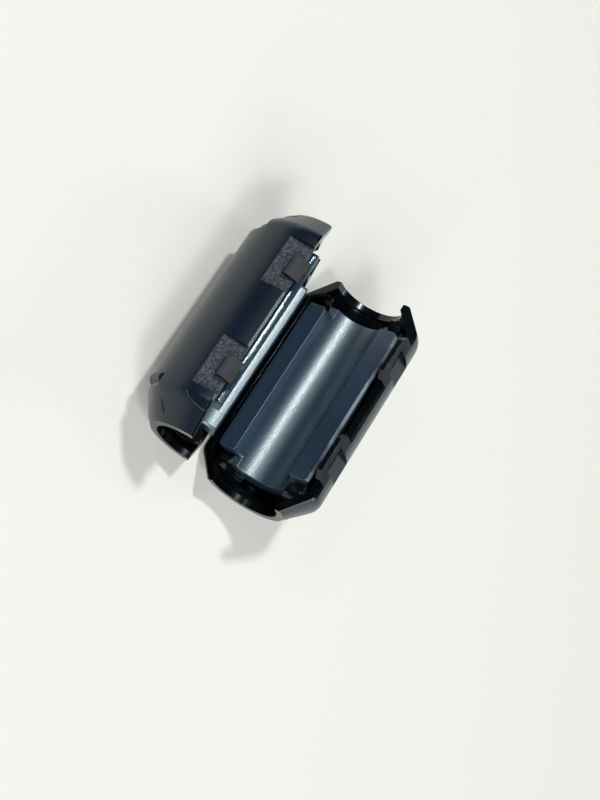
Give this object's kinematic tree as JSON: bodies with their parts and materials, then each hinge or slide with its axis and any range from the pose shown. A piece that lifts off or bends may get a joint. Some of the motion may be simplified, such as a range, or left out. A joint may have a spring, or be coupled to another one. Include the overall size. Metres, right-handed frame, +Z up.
{
  "type": "clip-on ferrite bead",
  "caption": "Clip-on ferrite bead for a round cable, open in a V: a black hinged plastic case holding two grey ferrite half cores, with snap latches.",
  "frame": {"origin": "centre of the footprint on the table, with the bead standing open in a V on its two backs", "axes": "+Y along the cable channel, +Z up, +X from the upper half to the lower half (the one with loops)"},
  "size_m": [0.0296, 0.0346, 0.0195],
  "materials": {
    "housing": "satin",
    "ferrite": "satin"
  },
  "bodies": {
    "base": {"lower_shell": "housing", "latch_loop_near": "housing", "latch_loop_far": "housing"},
    "lower_core_float": {"lower_core": "ferrite"},
    "web": {"hinge_web": "housing"},
    "lid": {"upper_shell": "housing"},
    "upper_core_float": {"upper_core": "ferrite"}
  },
  "joints": [
    {"name": "hinge_open", "type": "hinge", "parent": "base", "child": "web", "pos_m": [0.00079, 0, 0.00067], "axis": [0, -1, 0], "range_deg": [0, 117]},
    {"name": "hinge_close", "type": "hinge", "parent": "web", "child": "lid", "pos_m": [0, 0, 0.00111], "axis": [0, 1, 0], "range_deg": [0, 63], "deforming": ["latch_loop_near", "latch_loop_far"]},
    {"name": "lower_core_press", "type": "slide", "parent": "base", "child": "lower_core_float", "axis": [0.8754, 0, -0.4834], "range_m": [0, 0.00083]},
    {"name": "upper_core_press", "type": "slide", "parent": "lid", "child": "upper_core_float", "axis": [-0.8282, 0, -0.5605], "range_m": [0, 0.00084]}
  ],
  "couplings": [
    {"joint": "hinge_close", "follows": "lower_core_press", "rad_per_m": 1324.7},
    {"joint": "upper_core_press", "follows": "lower_core_press", "ratio": 1}
  ]
}
